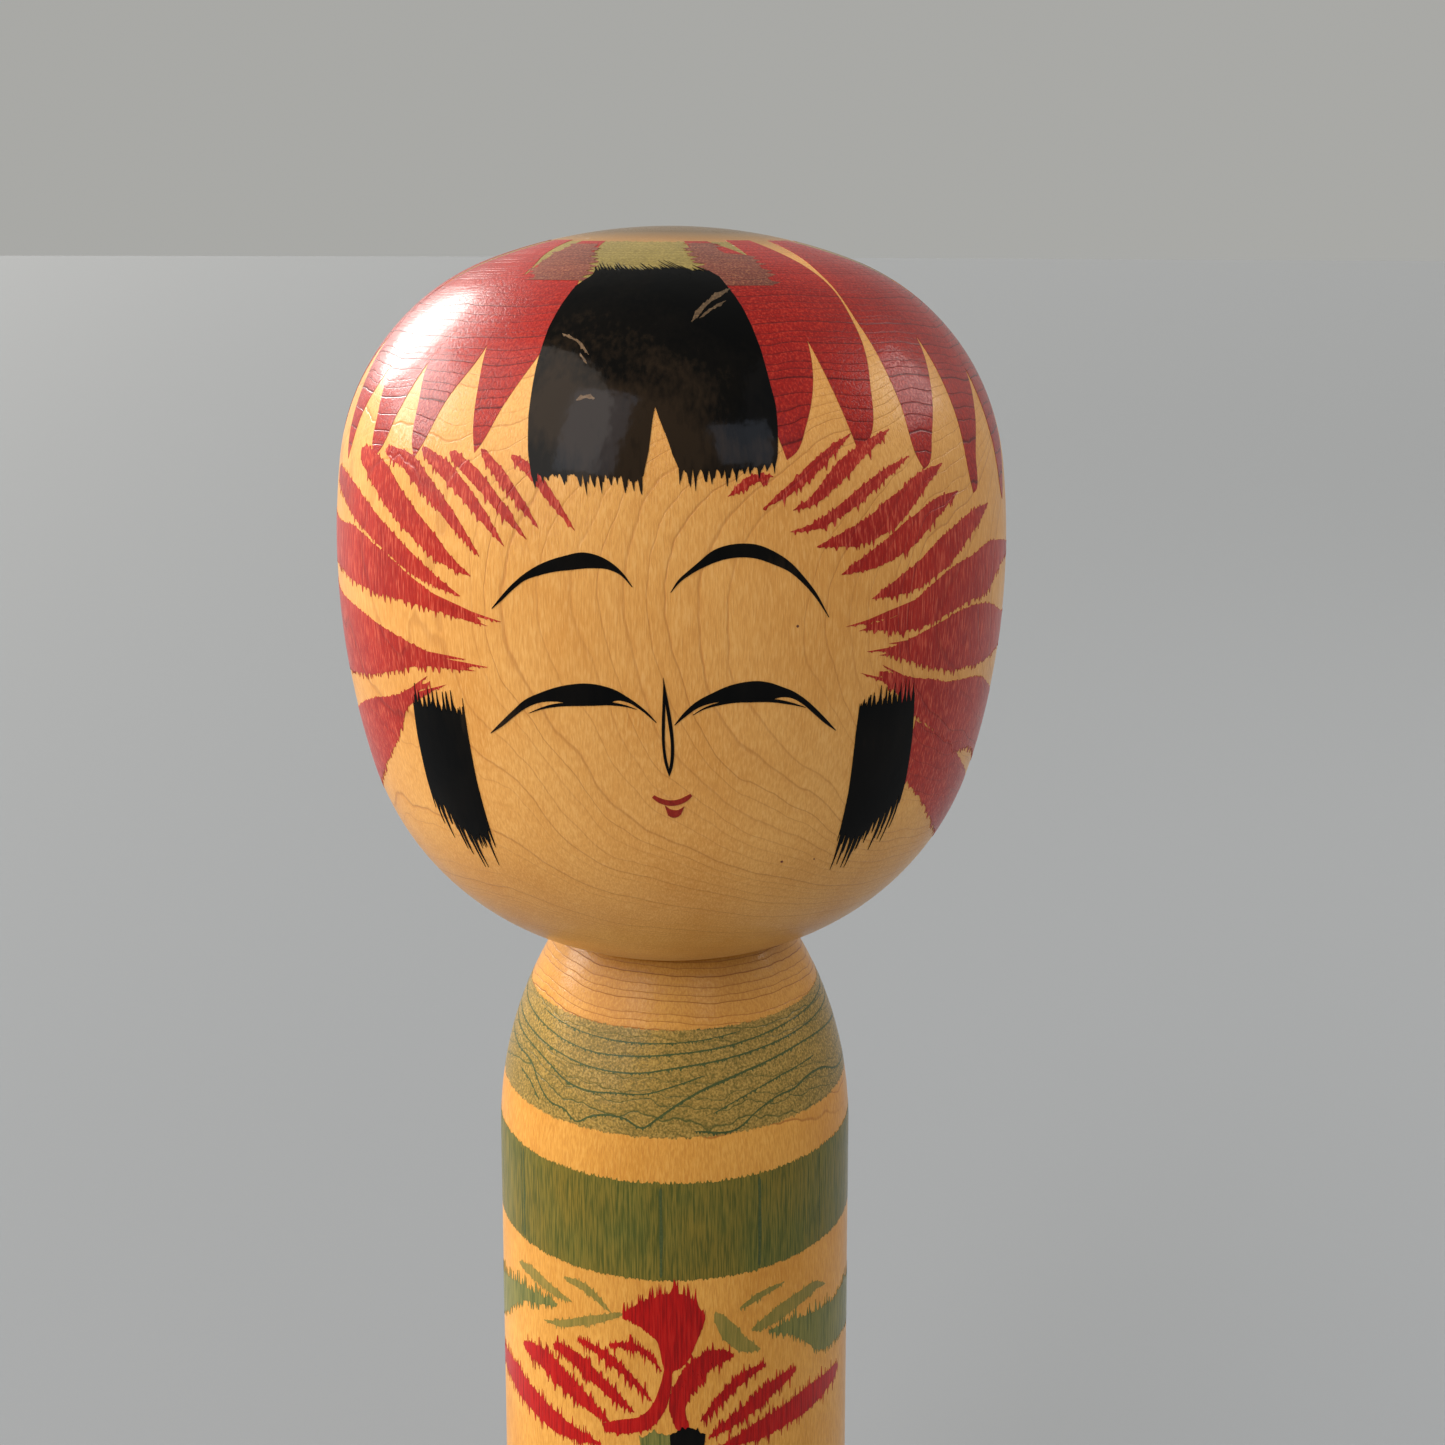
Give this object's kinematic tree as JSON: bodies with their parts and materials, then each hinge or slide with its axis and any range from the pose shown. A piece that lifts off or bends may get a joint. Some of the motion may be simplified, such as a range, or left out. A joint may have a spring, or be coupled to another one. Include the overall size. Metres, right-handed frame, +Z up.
{
  "type": "kokeshi doll",
  "caption": "Lathe-turned wooden doll with a large painted head that plugs into and turns on a plain cylindrical body.",
  "frame": {"origin": "centre of the foot's rim, on the surface that the doll stands on", "axes": "+Z up along the turning axis, -Y the way the face looks, +X to the doll's left"},
  "size_m": [0.0926, 0.0926, 0.303],
  "materials": {
    "head_wood": "turned pale hardwood, dyed crimson and black by brush, aged varnish",
    "body_wood": "turned pale hardwood, green and crimson dyes by brush and on the lathe, aged varnish"
  },
  "bodies": {
    "stand": {"body": "body_wood"},
    "turning_head": {"head": "head_wood"}
  },
  "joints": [
    {"name": "head_turn", "type": "hinge", "parent": "stand", "child": "turning_head", "pos_m": [0, 0, 0.2038], "axis": [0, 0, 1], "continuous": true}
  ]
}
